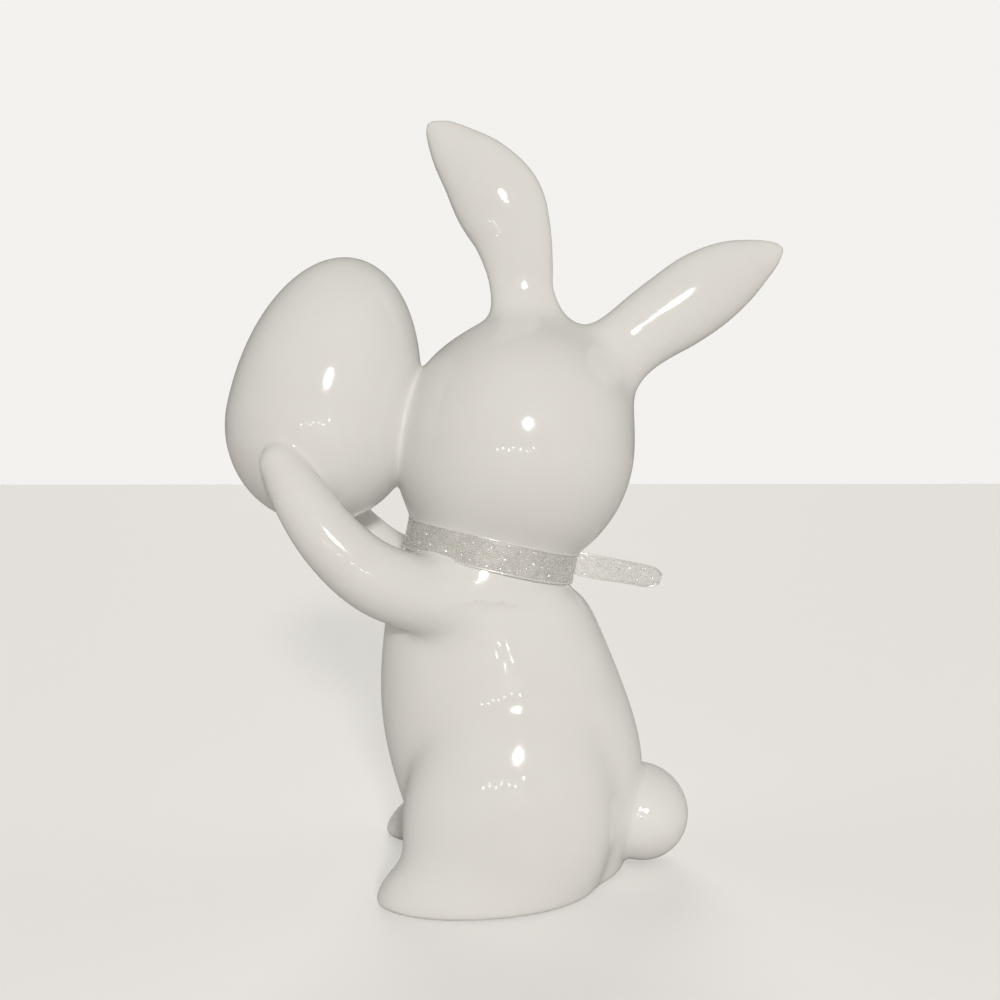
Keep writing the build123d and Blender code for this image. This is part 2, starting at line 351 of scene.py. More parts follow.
def tube(points, rows, slim=1.0):
    """A round tube along a smooth line of rows, each a point and a radius. Slim is how much
    thinner it is in X. Points well away from it just count as far. For the others the nearest
    ball is found, and then the place between the balls from the line's slope and bend."""
    spine, radii = rows[:, :3], rows[:, 3]
    whole = np.full(len(points), FAR)
    reach = FAR + radii.max()
    close = ((points > spine.min(0) - reach) & (points < spine.max(0) + reach)).all(1)
    stretch = np.array([slim, 1.0, 1.0])
    middle = np.array([spine[:, 0].mean(), 0.0, 0.0])
    near = (points[close] - middle) * stretch
    line = (spine - middle) * stretch
    slope, bend = np.gradient(line, axis=0), np.gradient(np.gradient(line, axis=0), axis=0)
    grow, swell = np.gradient(radii), np.gradient(np.gradient(radii))
    index = np.concatenate([
        nearest(part, line, radii)
        for part in np.array_split(near, max(len(near) // TUBE_BATCH, 1))
    ])
    offset = near - line[index]
    pace = (slope[index] ** 2).sum(1)
    rate = pace - (offset * bend[index]).sum(1)
    pull = (offset * slope[index]).sum(1) + grow[index] * np.linalg.norm(offset, axis=1)
    place = pull / np.maximum(rate, 0.3 * pace)
    place = np.clip(place, np.where(index == 0, 0, -1), np.where(index == len(line) - 1, 0, 1))
    gap = offset - slope[index] * place[:, None] - bend[index] * (place**2 / 2)[:, None]
    radius = radii[index] + grow[index] * place + swell[index] * place**2 / 2
    size = np.linalg.norm(gap, axis=1)
    rate = np.linalg.norm(gap * stretch, axis=1)
    whole[close] = (size - radius) * size / np.maximum(rate, 1e-9)
    return whole


def torso_table():
    """The torso's sections at even heights, blurred so that the skin has no kinks."""
    heights = np.arange(-TORSO_BELOW, TORSO_HEIGHT + TORSO_ABOVE, TORSO_STEP)
    side = round(3 * TORSO_BLUR / TORSO_STEP)
    reach = np.arange(-side, side + 1) * TORSO_STEP
    kernel = np.exp(-0.5 * (reach / TORSO_BLUR) ** 2)
    kernel /= kernel.sum()
    columns = []
    levels, *shares = TORSO_SHARES.T
    for share, size in zip(shares, (TORSO_DEPTH, TORSO_WIDTH, TORSO_LEAN)):
        column = np.interp(heights, levels * TORSO_HEIGHT, share * size)
        padded = np.pad(column, side, mode="edge")
        columns.append(np.convolve(padded, kernel, mode="valid"))
    return heights, columns


TORSO_HEIGHTS, TORSO_COLUMNS = torso_table()


def torso(points):
    """The torso, closed by a rounded lid under the ribbon."""
    half_depth, half_width, centre = (
        np.interp(points[:, 2], TORSO_HEIGHTS, column) for column in TORSO_COLUMNS
    )
    x, y = points[:, 0], points[:, 1] - centre
    near = np.hypot(x / half_width, y / half_depth)
    rate = np.hypot(x / half_width**2, y / half_depth**2)
    side = near * (near - 1) / np.maximum(rate, 1e-6)
    lid = (points - NECK_CENTRE) @ NECK_AXIS - SHOULDER_LEVEL
    return -blend(-side, -lid, SHOULDER_ROUNDING)


def neck(points):
    """The cylinder under the ribbon."""
    offset = points - NECK_CENTRE
    height = offset @ NECK_AXIS
    around = np.linalg.norm(offset - height[:, None] * NECK_AXIS, axis=1)
    return np.maximum(around - NECK_RADIUS, np.abs(height) - NECK_HALF_HEIGHT)


def arm(points, side):
    """The arm on a side, 1 for the left and -1 for the right."""
    place = np.array([row[0] for row in ARM_SHARES] + [1.0])
    radius = np.array([row[1] * ARM_RADIUS for row in ARM_SHARES] + [PAW_RADIUS])
    chord = PAW - SHOULDER
    down = unit(np.cross([1.0, 0.0, 0.0], chord))
    down = down if down[2] < 0 else -down
    bow = np.sin(np.pi * place**ARM_BOW_SKEW)[:, None]
    bowed = down * ARM_SAG + np.array([ARM_SPREAD, 0, 0])
    spine = SHOULDER + place[:, None] * chord + bow * bowed
    rows = smooth_line(np.column_stack([spine, radius]), ARM_STEPS)
    return tube(points * [side, 1, 1], rows)


def leg(points, side):
    """The haunch and foot on a side, 1 for the left and -1 for the right."""
    mirrored = points * [side, 1, 1]
    haunch = ellipsoid(mirrored, HAUNCH_CENTRE, HAUNCH_RADII, HAUNCH_LEAN)
    foot = ellipsoid(mirrored, FOOT_CENTRE, FOOT_RADII)
    return blend(haunch, foot, FOOT_FILLET)


def ear(points, sizes, shares):
    """One ear, from inside the head to its tip."""
    outward, along = direction(sizes["root"]), direction(sizes["lean"])
    across = np.array([0.0, along[2], -along[1]])
    reach = HEAD_RADII[2] - EAR_ROOT_DEPTH
    root = HEAD_CENTRE + outward * reach + np.array([EAR_SIDE, 0, 0])
    rows = []
    for place, bow, width in shares:
        middle = root + along * (place * sizes["length"]) + across * (bow * sizes["bow"])
        rows.append([*middle, width * sizes["width"] / 2])
    rows[0][:3] = root - outward * EAR_SINK
    return tube(points, smooth_line(rows, EAR_STEPS), sizes["width"] / EAR_THICKNESS)


def blend(a, b, reach):
    """The union of two forms, rounded where they meet over a reach."""
    near = np.maximum(reach - np.abs(a - b), 0) / reach
    return np.minimum(a, b) - near**3 * reach / 6


def castings(points):
    """The field of each casting by itself, by the name of its CAD node, and of the neck that the
    head and the torso share."""
    return {
        "egg_shell": egg(points),
        "forward_ear": ear(points, FORWARD_EAR, FORWARD_EAR_SHARES),
        "rear_ear": ear(points, REAR_EAR, REAR_EAR_SHARES),
        "left_arm": arm(points, 1),
        "right_arm": arm(points, -1),
        "left_leg": leg(points, 1),
        "right_leg": leg(points, -1),
        "bob_tail": ellipsoid(points, TAIL_CENTRE, TAIL_RADII),
        "head_shell": ellipsoid(points, HEAD_CENTRE, HEAD_RADII, NECK_TILT),
        "torso_shell": torso(points),
        "neck": neck(points),
    }


def joined(part, points):
    """The field of the whole skin from the fields of the castings."""
    body = part["torso_shell"]
    for name in ("left_leg", "right_leg"):
        body = blend(body, part[name], HAUNCH_FILLET)
    body = blend(body, part["bob_tail"], TAIL_FILLET)
    body = blend(body, part["neck"], NECK_FILLET)
    for name in ("left_arm", "right_arm"):
        body = blend(body, part[name], ARM_FILLET)
    head = part["head_shell"]
    for name in ("forward_ear", "rear_ear"):
        head = blend(head, part[name], EAR_FILLET)
    whole = blend(body, head, NECK_FILLET)
    whole = blend(whole, part["egg_shell"], SEAM_FILLET)
    whole = -blend(-whole, points[:, 2], SOLE_ROUNDING)
    return np.maximum(whole + hand_made(points), -vent(points))


def hand_made(points):
    """Slow waves that make the skin a little uneven, as a cast and sponged form is."""
    x, y, z = (points / mm).T
    waves = (
        np.sin(x / 9.0 + y / 13.0 + 0.7)
        + np.sin(y / 7.0 - z / 11.0 + 1.9)
        + np.sin(z / 8.0 + x / 12.0 + 0.3)
    )
    return waves * WAVE_HEIGHT


def vent(points):
    """The air hole in the sole."""
    around = np.hypot(points[:, 0], points[:, 1] - VENT_PLACE) - VENT_RADIUS
    return np.maximum(around, points[:, 2] - VENT_DEPTH)


def skin_field(points):
    """The field of the whole skin."""
    return joined(castings(points), points)


def gradient(points):
    """The skin field's slope, by central differences."""
    slopes = []
    for axis in range(3):
        shift = np.zeros(3)
        shift[axis] = SLOPE_STEP
        slopes.append(skin_field(points + shift) - skin_field(points - shift))
    return np.stack(slopes, 1) / (2 * SLOPE_STEP)


# The skin's mesh

def field_grid(low, counts):
    """The field on a fine grid, worked out only near the skin."""
    rough = [np.arange(0, count, COARSE) for count in counts]
    nodes = np.stack(np.meshgrid(*rough, indexing="ij"), -1).reshape(-1, 3)
    shape = [len(r) for r in rough]
    values = skin_field(low + nodes * CELL).reshape(shape)
    fine = values.repeat(COARSE, 0).repeat(COARSE, 1).repeat(COARSE, 2)
    fine = fine[: counts[0], : counts[1], : counts[2]]
    close = np.argwhere(np.abs(values) < NEAR_CELLS * COARSE * CELL)
    block = np.stack(np.meshgrid(*[np.arange(COARSE)] * 3, indexing="ij"), -1).reshape(-1, 3)
    index = (close[:, None] * COARSE + block[None]).reshape(-1, 3)
    index = index[(index < counts).all(1)]
    fine[tuple(index.T)] = np.concatenate([
        skin_field(low + part * CELL) for part in np.array_split(index, GRID_PARTS)
    ])
    return fine


def surface_net(values, low):
    """Points and triangles of the zero level of a grid of values, one point in each cell that it
    crosses."""
    inside = values < 0
    shape = np.array(inside.shape) - 1
    count = np.zeros(shape, np.int8)
    for corner in np.ndindex(2, 2, 2):
        count += inside[tuple(slice(start, start + size) for start, size in zip(corner, shape))]
    cells = np.argwhere((count > 0) & (count < 8))
    number = np.full(count.shape, -1, np.int64)
    number[tuple(cells.T)] = np.arange(len(cells))
    points = low + (cells + 0.5) * CELL
    quads = []
    for axis in range(3):
        u, v = (axis + 1) % 3, (axis + 2) % 3
        ahead = [slice(None)] * 3
        behind = [slice(None)] * 3
        ahead[axis], behind[axis] = slice(1, None), slice(None, -1)
        leaves = inside[tuple(behind)] & ~inside[tuple(ahead)]
        enters = ~inside[tuple(behind)] & inside[tuple(ahead)]
        for edges, turned in ((leaves, False), (enters, True)):
            at = np.argwhere(edges)
            at = at[(at[:, u] > 0) & (at[:, v] > 0)]
            ring = []
            for du, dv in ((0, 0), (-1, 0), (-1, -1), (0, -1)):
                cell = at.copy()
                cell[:, u] += du
                cell[:, v] += dv
                ring.append(number[tuple(cell.T)])
            quad = np.stack(ring, 1)
            quads.append(quad[:, ::-1] if turned else quad)
    quads = np.concatenate(quads)
    return points, np.concatenate([quads[:, [0, 1, 2]], quads[:, [0, 2, 3]]])


def onto_skin(points, rounds):
    """Points moved along the field's slope towards the skin, by at most a cell in each round."""
    for _ in range(rounds):
        slope = gradient(points)
        size = np.maximum((slope**2).sum(1), 0.05)
        points = points - slope * np.clip(skin_field(points) / size, -CELL, CELL)[:, None]
    return points


def relaxed(points, faces):
    """Points moved to the middle of their neighbours, so that the triangles are even."""
    ends = np.concatenate([faces[:, [0, 1]], faces[:, [1, 2]], faces[:, [2, 0]]])
    total = np.zeros_like(points)
    count = np.zeros(len(points))
    np.add.at(total, ends[:, 0], points[ends[:, 1]])
    np.add.at(count, ends[:, 0], 1)
    return 0.5 * points + 0.5 * total / np.maximum(count, 1)[:, None]


def cut(points, faces, values):
    """Triangles cut where values at the points pass zero. Returns the points, and the faces
    below and above."""
    below = values < 0
    corner = below[faces]
    lone = corner.sum(1)
    whole_below, whole_above = faces[lone == 3], faces[lone == 0]
    mixed = faces[(lone == 1) | (lone == 2)]
    state = below[mixed]
    odd = np.where(state.sum(1) == 1, state.argmax(1), (~state).argmax(1))
    order = (odd[:, None] + np.arange(3)) % 3
    tri = np.take_along_axis(mixed, order, 1)
    pairs = np.concatenate([tri[:, [0, 1]], tri[:, [0, 2]]])
    edges, where = np.unique(np.sort(pairs, 1), axis=0, return_inverse=True)
    va, vb = values[edges[:, 0]], values[edges[:, 1]]
    share = np.clip(va / (va - vb), CUT_MARGIN, 1 - CUT_MARGIN)[:, None]
    added = points[edges[:, 0]] * (1 - share) + points[edges[:, 1]] * share
    ids = where.reshape(-1) + len(points)
    first, second = ids[: len(tri)], ids[len(tri) :]
    tip = np.stack([tri[:, 0], first, second], 1)
    rest = np.concatenate([
        np.stack([first, tri[:, 1], tri[:, 2]], 1), np.stack([first, tri[:, 2], second], 1)
    ])
    lone_below = below[tri[:, 0]]
    twice = np.concatenate([lone_below, lone_below])
    return (
        np.vstack([points, added]),
        np.vstack([whole_below, tip[lone_below], rest[~twice]]),
        np.vstack([whole_above, tip[~lone_below], rest[twice]]),
    )


def open_loops(faces):
    """The closed lines of edges that only one triangle uses."""
    edges = np.concatenate([faces[:, [0, 1]], faces[:, [1, 2]], faces[:, [2, 0]]])
    keys = {(a, b) for a, b in edges.tolist()}
    onward = {}
    for a, b in keys:
        if (b, a) not in keys:
            onward.setdefault(a, []).append(b)
    loops = []
    while onward:
        start = next(iter(onward))
        loop = [start]
        at = onward[start].pop()
        while at != start:
            loop.append(at)
            at = onward[at].pop()
        onward = {a: b for a, b in onward.items() if b}
        loops.append(loop)
    return loops


def capped(points, faces):
    """A piece closed by a fan inside each of its open loops."""
    for loop in open_loops(faces):
        middle = points[loop].mean(0)
        points = np.vstack([points, middle])
        fan = [(b, a, len(points) - 1) for a, b in zip(loop, loop[1:] + loop[:1])]
        faces = np.vstack([faces, np.array(fan)])
    return points, faces


def skin_mesh():
    """Points and triangles of the whole skin."""
    counts = np.ceil((SKIN_HIGH - SKIN_LOW) / CELL).astype(int)
    values = field_grid(SKIN_LOW, counts)
    points, faces = surface_net(values, SKIN_LOW)
    points = onto_skin(points, 2)
    for _ in range(RELAX_ROUNDS):
        points = onto_skin(relaxed(points, faces), 1)
    return onto_skin(points, 1), faces


def split_skin(points, faces):
    """The skin cut into its castings, by node name: points and triangles of each."""
    pieces = {}
    for name in CUT_ORDER:
        part = castings(points)
        others = np.min([value for key, value in part.items() if key != name], axis=0)
        points, mine, faces = cut(points, faces, part[name] - others)
        pieces[name] = mine
    height = (points - NECK_CENTRE) @ NECK_AXIS
    points, pieces["torso_shell"], pieces["head_shell"] = cut(points, faces, height)
    return points, pieces


# Blender meshes

def new_object(name, points, faces, normals=None, smooth=True):
    """A mesh object from arrays, with its own normals where given."""
    mesh = bpy.data.meshes.new(name)
    mesh.from_pydata(points.tolist(), [], faces.tolist() if hasattr(faces, "tolist") else faces)
    mesh.polygons.foreach_set("use_smooth", [smooth] * len(mesh.polygons))
    if normals is not None:
        mesh.normals_split_custom_set_from_vertices(normals.tolist())
    mesh.update()
    thing = bpy.data.objects.new(name, mesh)
    bpy.context.scene.collection.objects.link(thing)
    return thing


def finish_piece(thing, material, body, node=None):
    """A piece's material and body; the CAD node that it stands for is hidden."""
    thing.data.materials.append(material)
    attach(thing, body)
    if node:
        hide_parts(node)


def make_castings(glaze):
    """Each casting as a closed piece of the one smooth skin."""
    points, faces = skin_mesh()
    points, pieces = split_skin(points, faces)
    slope = gradient(points)
    for node, mine in pieces.items():
        used, mine = np.unique(mine, return_inverse=True)
        closed, mine = capped(points[used], mine.reshape(-1, 3))
        hidden = np.tile([0.0, 0.0, 1.0], (len(closed) - len(used), 1))
        normals = np.vstack([unit(slope[used]), hidden])
        thing = new_object(node + "_glazed", closed, mine, normals)
        finish_piece(thing, glaze, "figurine", node)


# Materials

def node_material(name):
    """A new material with its tree, shader and output."""
    material = bpy.data.materials.new(name)
    material.use_nodes = True
    tree = material.node_tree
    tree.nodes.clear()
    output = tree.nodes.new("ShaderNodeOutputMaterial")
    shader = tree.nodes.new("ShaderNodeBsdfPrincipled")
    tree.links.new(shader.outputs[0], output.inputs["Surface"])
    return material, tree, shader


def noise(tree, scale, detail=3.0):
    """A noise texture on object coordinates, with a scale in features to the metre."""
    place = tree.nodes.new("ShaderNodeTexCoord")
    texture = tree.nodes.new("ShaderNodeTexNoise")
    texture.inputs["Scale"].default_value = scale
    texture.inputs["Detail"].default_value = detail
    tree.links.new(place.outputs["Object"], texture.inputs["Vector"])
    return texture.outputs["Fac"]


def ramp(tree, value, stops):
    """A colour ramp with stops of place and colour."""
    node = tree.nodes.new("ShaderNodeValToRGB")
    while len(node.color_ramp.elements) < len(stops):
        node.color_ramp.elements.new(0.5)
    for element, (place, colour) in zip(node.color_ramp.elements, stops):
        element.position = place
        element.color = (*colour, 1.0)
    tree.links.new(value, node.inputs["Fac"])
    return node.outputs["Color"]


def maths(tree, operation, *values):
    """A sum or the like of values, each a number or another node's output."""
    node = tree.nodes.new("ShaderNodeMath")
    node.operation = operation
    for socket, value in zip(node.inputs, values):
        if isinstance(value, (int, float)):
            socket.default_value = value
        else:
            tree.links.new(value, socket)
    return node.outputs[0]


def mix_colour(tree, share, a, b):
    """A mix of two colours: the first where the share is 0, the second where it is 1."""
    node = tree.nodes.new("ShaderNodeMix")
    node.data_type = "RGBA"
    tree.links.new(share, node.inputs["Factor"])
    tree.links.new(a, node.inputs["A"])
    tree.links.new(b, node.inputs["B"])
    return node.outputs["Result"]


def bump(tree, height, distance, strength):
    """A normal that follows a height."""
    node = tree.nodes.new("ShaderNodeBump")
    node.inputs["Distance"].default_value = distance
    node.inputs["Strength"].default_value = strength
    tree.links.new(height, node.inputs["Height"])
    return node.outputs["Normal"]


def glaze_material():
    """Glossy white glaze over fine clay, bare and matt on the sole."""
    material, tree, shader = node_material("white_glaze")
    place = tree.nodes.new("ShaderNodeTexCoord")
    split = tree.nodes.new("ShaderNodeSeparateXYZ")
    tree.links.new(place.outputs["Object"], split.inputs[0])
    bare = maths(tree, "LESS_THAN", split.outputs["Z"], BARE_BELOW)
    cloudy = ramp(tree, noise(tree, scale=26.0), GLAZE_SHADES)
    fine = ramp(tree, noise(tree, scale=900.0, detail=2.0), CLAY_SHADES)
    tree.links.new(mix_colour(tree, bare, cloudy, fine), shader.inputs["Base Color"])
    gloss = maths(tree, "MULTIPLY_ADD", noise(tree, scale=60.0), 0.05, 0.05)
    rough = maths(tree, "MAXIMUM", gloss, maths(tree, "MULTIPLY", bare, 0.75))
    tree.links.new(rough, shader.inputs["Roughness"])
    shader.inputs["IOR"].default_value = GLAZE_IOR
    broad = noise(tree, scale=140.0, detail=2.0)
    grain = maths(tree, "MULTIPLY", noise(tree, scale=700.0, detail=1.0), 0.12)
    peel = maths(tree, "ADD", broad, grain)
    dimples = bump(tree, peel, distance=0.12 * mm, strength=0.5)
    tree.links.new(dimples, shader.inputs["Normal"])
    return material


def ribbon_material():
    """Sheer silver organza: fine ribs across, half see-through."""
    material, tree, shader = node_material("silver_organza")
    uv = tree.nodes.new("ShaderNodeUVMap")
    uv.uv_map = "ribbon"
    split = tree.nodes.new("ShaderNodeSeparateXYZ")
    tree.links.new(uv.outputs[0], split.inputs[0])
    threads = []
    for axis, pitch in THREAD_PITCHES:
        place = maths(tree, "MULTIPLY", split.outputs[axis], 2 * math.pi / pitch)
        wave = maths(tree, "SINE", place)
        threads.append(maths(tree, "MULTIPLY_ADD", wave, 0.5, 0.5))
    weave = maths(tree, "MAXIMUM", *threads)
    colour = ramp(tree, noise(tree, scale=420.0, detail=2.0), CLOTH_SHADES)
    tree.links.new(colour, shader.inputs["Base Color"])
    alpha = maths(tree, "MULTIPLY_ADD", weave, 0.4, 0.12)
    tree.links.new(alpha, shader.inputs["Alpha"])
    shader.inputs["Metallic"].default_value = 0.1
    shader.inputs["Roughness"].default_value = 0.38
    shader.inputs["Sheen Weight"].default_value = 0.4
    ribs = bump(tree, weave, distance=0.08 * mm, strength=0.7)
    tree.links.new(ribs, shader.inputs["Normal"])
    return material


def thread_material():
    """The brighter satin thread of the ribbon's woven edges and its knot."""
    material, tree, shader = node_material("silver_thread")
    twist = noise(tree, scale=1800.0, detail=2.0)
    colour = ramp(tree, twist, THREAD_SHADES)
    tree.links.new(colour, shader.inputs["Base Color"])
    shader.inputs["Metallic"].default_value = 0.35
    shader.inputs["Roughness"].default_value = 0.3
    strands = bump(tree, twist, distance=0.08 * mm, strength=0.8)
    tree.links.new(strands, shader.inputs["Normal"])
    return material


def glitter_material():
    """Small bright flakes, half metal."""
    material, tree, shader = node_material("silver_glitter")
    colour = ramp(tree, noise(tree, scale=2500.0, detail=1.0), FLAKE_SHADES)
    tree.links.new(colour, shader.inputs["Base Color"])
    shader.inputs["Metallic"].default_value = 0.45
    shader.inputs["Roughness"].default_value = 0.32
    return material


# Ribbon

SIDE_AXIS = np.array([1.0, 0.0, 0.0])
BACK_AXIS = np.cross(NECK_AXIS, SIDE_AXIS)


def out_of_neck(angle):
    """The way out from the neck's axis at an angle round it."""
    turn = math.radians(angle)
    return BACK_AXIS * math.cos(turn) - SIDE_AXIS * math.sin(turn)


def around_neck(angle, radius, height=0.0):
    """A point at an angle round the neck."""
    return NECK_CENTRE + out_of_neck(angle) * radius + NECK_AXIS * height


def cloth_strip(name, middles, outs, ups, widths, material, along, edge_material, closed):
    """A thin woven strip along a line. At each place along it are its middle, the way out of its
    face, the way across, its width and its length so far. Returns the strip and its edge
    cords."""
    across = np.linspace(-0.5, 0.5, RIBBON_POINTS_ACROSS)
    count = len(middles)
    grid = middles[:, None] + ups[:, None] * (across[None, :, None] * widths[:, None, None])
    points = np.concatenate([
        (grid + outs[:, None] * (side * RIBBON_THICKNESS)).reshape(-1, 3) for side in (0.5, -0.5)
    ])
    faces = []
    wide = len(across)
    sheet = count * wide
    last = count if closed else count - 1
    for i in range(last):
        j = (i + 1) % count
        for k in range(wide - 1):
            a, b, c, d = i * wide + k, j * wide + k, j * wide + k + 1, i * wide + k + 1
            faces.append((a, b, c, d))
            faces.append((sheet + d, sheet + c, sheet + b, sheet + a))
        for k in (0, wide - 1):
            a, b = i * wide + k, j * wide + k
            rim = (b, a, sheet + a, sheet + b)
            faces.append(rim if k == 0 else rim[::-1])
    if not closed:
        for i in (0, count - 1):
            for k in range(wide - 1):
                a, b = i * wide + k, i * wide + k + 1
                rim = (a, b, sheet + b, sheet + a)
                faces.append(rim if i == 0 else rim[::-1])
    strip = new_object(name, points, faces)
    layer = strip.data.uv_layers.new(name="ribbon")
    lengths = np.concatenate([along, along])
    place = np.column_stack([
        np.repeat(lengths, wide), np.tile(np.outer(widths, across).reshape(-1), 2)
    ]) / mm
    corners = np.empty(len(strip.data.loops), int)
    strip.data.loops.foreach_get("vertex_index", corners)
    layer.data.foreach_set("uv", place[corners].reshape(-1))
    cords = []
    for sign, title in ((0.5, "upper"), (-0.5, "lower")):
        line = middles + ups * (sign * (widths - 2 * SELVEDGE_RADIUS))[:, None]
        cords.append(cord_mesh(f"{name}_{title}_selvedge", line, SELVEDGE_RADIUS, closed))
    finish_piece(strip, material, "ribbon")
    for cord in cords:
        finish_piece(cord, edge_material, "ribbon")
    return strip, cords


def cord_mesh(name, line, radius, closed):
    """A round cord along a line of points, tapered and capped where it ends."""
    count, sides = len(line), SELVEDGE_SIDES
    ahead = np.roll(line, -1, 0) - np.roll(line, 1, 0)
    if not closed:
        ahead[0], ahead[-1] = line[1] - line[0], line[-1] - line[-2]
    ahead = unit(ahead)
    first = unit(np.cross(ahead, NECK_AXIS + 0.01))
    second = np.cross(ahead, first)
    turn = np.linspace(0, 2 * np.pi, sides, endpoint=False)
    size = np.full(count, radius)
    if not closed:
        size[0] = size[-1] = radius * SELVEDGE_TAPER
    cosines, sines = np.cos(turn)[None, :, None], np.sin(turn)[None, :, None]
    rings = line[:, None] + size[:, None, None] * (
        first[:, None] * cosines + second[:, None] * sines
    )
    faces = []
    for i in range(count if closed else count - 1):
        j = (i + 1) % count
        for k in range(sides):
            m = (k + 1) % sides
            faces.append((i * sides + k, i * sides + m, j * sides + m, j * sides + k))
    if not closed:
        faces.append(tuple(range(sides))[::-1])
        faces.append(tuple((count - 1) * sides + k for k in range(sides)))
    return new_object(name, rings.reshape(-1, 3), faces)


def glitter(name, places, outs, material):
    """Small six-sided flakes, each tipped a little its own way."""
    points, faces = [], []
    for place, out in zip(places, outs):
        normal = unit(out + rng.normal(0, FLAKE_TIPPING, 3))
        first = unit(np.cross(normal, rng.normal(0, 1, 3)))
        second = np.cross(normal, first)
        size = rng.uniform(*FLAKE_RADII) * mm
        spin = rng.uniform(0, np.pi)
        start = len(points)
        for face in (0.5, -0.5):
            height = FLAKE_LIFT + face * FLAKE_THICKNESS
            for k in range(6):
                angle = spin + k * np.pi / 3
                offset = first * math.cos(angle) + second * math.sin(angle)
                points.append(place + normal * height + offset * size)
        ring = [start + k for k in range(6)]
        faces.append(ring)
        faces.append([k + 6 for k in ring][::-1])
        for k in range(6):
            a, b = ring[k], ring[(k + 1) % 6]
            faces.append([b, a, a + 6, b + 6])
    flakes = new_object(name, np.array(points), faces, smooth=False)
    finish_piece(flakes, material, "ribbon")
    return flakes


def scattered(middles, outs, ups, widths, count, sides):
    """Seeded places on a strip's faces, 1 for the outer and -1 for the inner, with the way out
    of the face at each."""
    at = rng.uniform(0, len(middles) - 1.001, count)
    index = at.astype(int)
    share = (at - index)[:, None]
    offset = rng.uniform(-GLITTER_REACH, GLITTER_REACH, count)
    edge = rng.random(count) < EDGE_GLITTER_SHARE
    rim = np.copysign(rng.uniform(*EDGE_GLITTER_REACH, count), offset)
    offset = np.where(edge, rim, offset)
    side = rng.choice(sides, count)[:, None]
    middle = middles[index] * (1 - share) + middles[index + 1] * share
    places = middle + ups[index] * (offset * widths[index])[:, None]
    return places, outs[index] * side


def make_band(cloth, thread, flake):
    """The turn of ribbon round the neck, drawn a little narrower at the knot."""
    angles = np.linspace(0, 360, BAND_POINTS, endpoint=False)
    turns = np.radians(angles)
    wave = np.sin(turns * 5 + 0.6) * 0.10 + np.sin(turns * 11 + 2.0) * 0.06
    radius = RIBBON_RADIUS + wave * mm
    drift = np.sin(turns * 3 + 1.0) * 0.14 * mm
    middles = np.array([around_neck(a, r, h) for a, r, h in zip(angles, radius, drift)])
    outs = np.array([out_of_neck(a) for a in angles])
    ups = np.tile(NECK_AXIS, (BAND_POINTS, 1))
    off = np.abs((angles - KNOT_ANGLE + 180) % 360 - 180)
    narrowing = BAND_NARROWING * np.exp(-(off / BAND_NARROWED_ANGLE) ** 2)
    widths = RIBBON_WIDTH * (1 - narrowing)
    along = turns * RIBBON_RADIUS
    strip, cords = cloth_strip(
        "ribbon_band_cloth", middles, outs, ups, widths, cloth, along, thread, closed=True
    )
    places, ways = scattered(middles, outs, ups, widths, BAND_FLAKES, sides=(1,))
    flakes = glitter("ribbon_band_glitter", places, ways, flake)
    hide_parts("ribbon_band")


def knot_frame():
    """The knot's middle, the way out from the neck and the way along the band."""
    outward = out_of_neck(KNOT_ANGLE)
    return around_neck(KNOT_ANGLE, KNOT_FROM_AXIS), outward, np.cross(outward, NECK_AXIS)


def rotated(first, second, angle):
    """Two ways at right angles, both turned by an angle from the first towards the second."""
    c, s = math.cos(math.radians(angle)), math.sin(math.radians(angle))
    return first * c + second * s, second * c - first * s


def tail_rows(length, turn, rise, sweep):
    """Middles, outs, ups and places of a ribbon tail that leaves the knot in a gentle arc of
    radius sweep, by its angles off the way out and up the neck's axis."""
    middle, outward, tangent = knot_frame()
    heading, side = rotated(outward, tangent, turn)
    ahead, up = rotated(heading, NECK_AXIS, rise)
    bend = math.copysign(1, turn)
    places = np.linspace(0, length, TAIL_POINTS)
    angle = places / sweep
    middles = middle + np.outer(np.sin(angle) * sweep, ahead)
    middles = middles + np.outer((1 - np.cos(angle)) * sweep * bend, side)
    forward = np.outer(np.cos(angle), ahead) + np.outer(np.sin(angle) * bend, side)
    ripple = np.sin(places / length * 9.0 + turn) * 0.25 * mm * np.minimum(places / (6 * mm), 1)
    flat = np.cross(up, forward)
    start, end = TAIL_TWIST
    twist = np.radians(start + (end - start) * places / length)[:, None]
    ups = up * np.cos(twist) + flat * np.sin(twist)
    outs = flat * np.cos(twist) - up * np.sin(twist)
    return middles + outs * ripple[:, None], outs, ups, places


def make_tail(name, length, turn, rise, sweep, cloth, thread, flake):
    """One free end of the ribbon, gathered where it leaves the knot and rounded at its tip."""
    middles, outs, ups, places = tail_rows(length, turn, rise, sweep)
    gathered = 0.55 + 0.45 * np.clip(places / TAIL_GATHER, 0, 1) ** 0.7
    tip = np.clip((length - places) / TAIL_TIP, 0.0, 1)
    rounded = 0.3 + 0.7 * (1 - (1 - tip) ** 2) ** 0.7
    widths = RIBBON_WIDTH * gathered * rounded
    strip, cords = cloth_strip(
        name + "_cloth", middles, outs, ups, widths, cloth, places, thread, closed=False
    )
    places, ways = scattered(middles, outs, ups, widths, TAIL_FLAKES, sides=(1, -1))
    flakes = glitter(name + "_glitter", places, ways, flake)
    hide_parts(name)


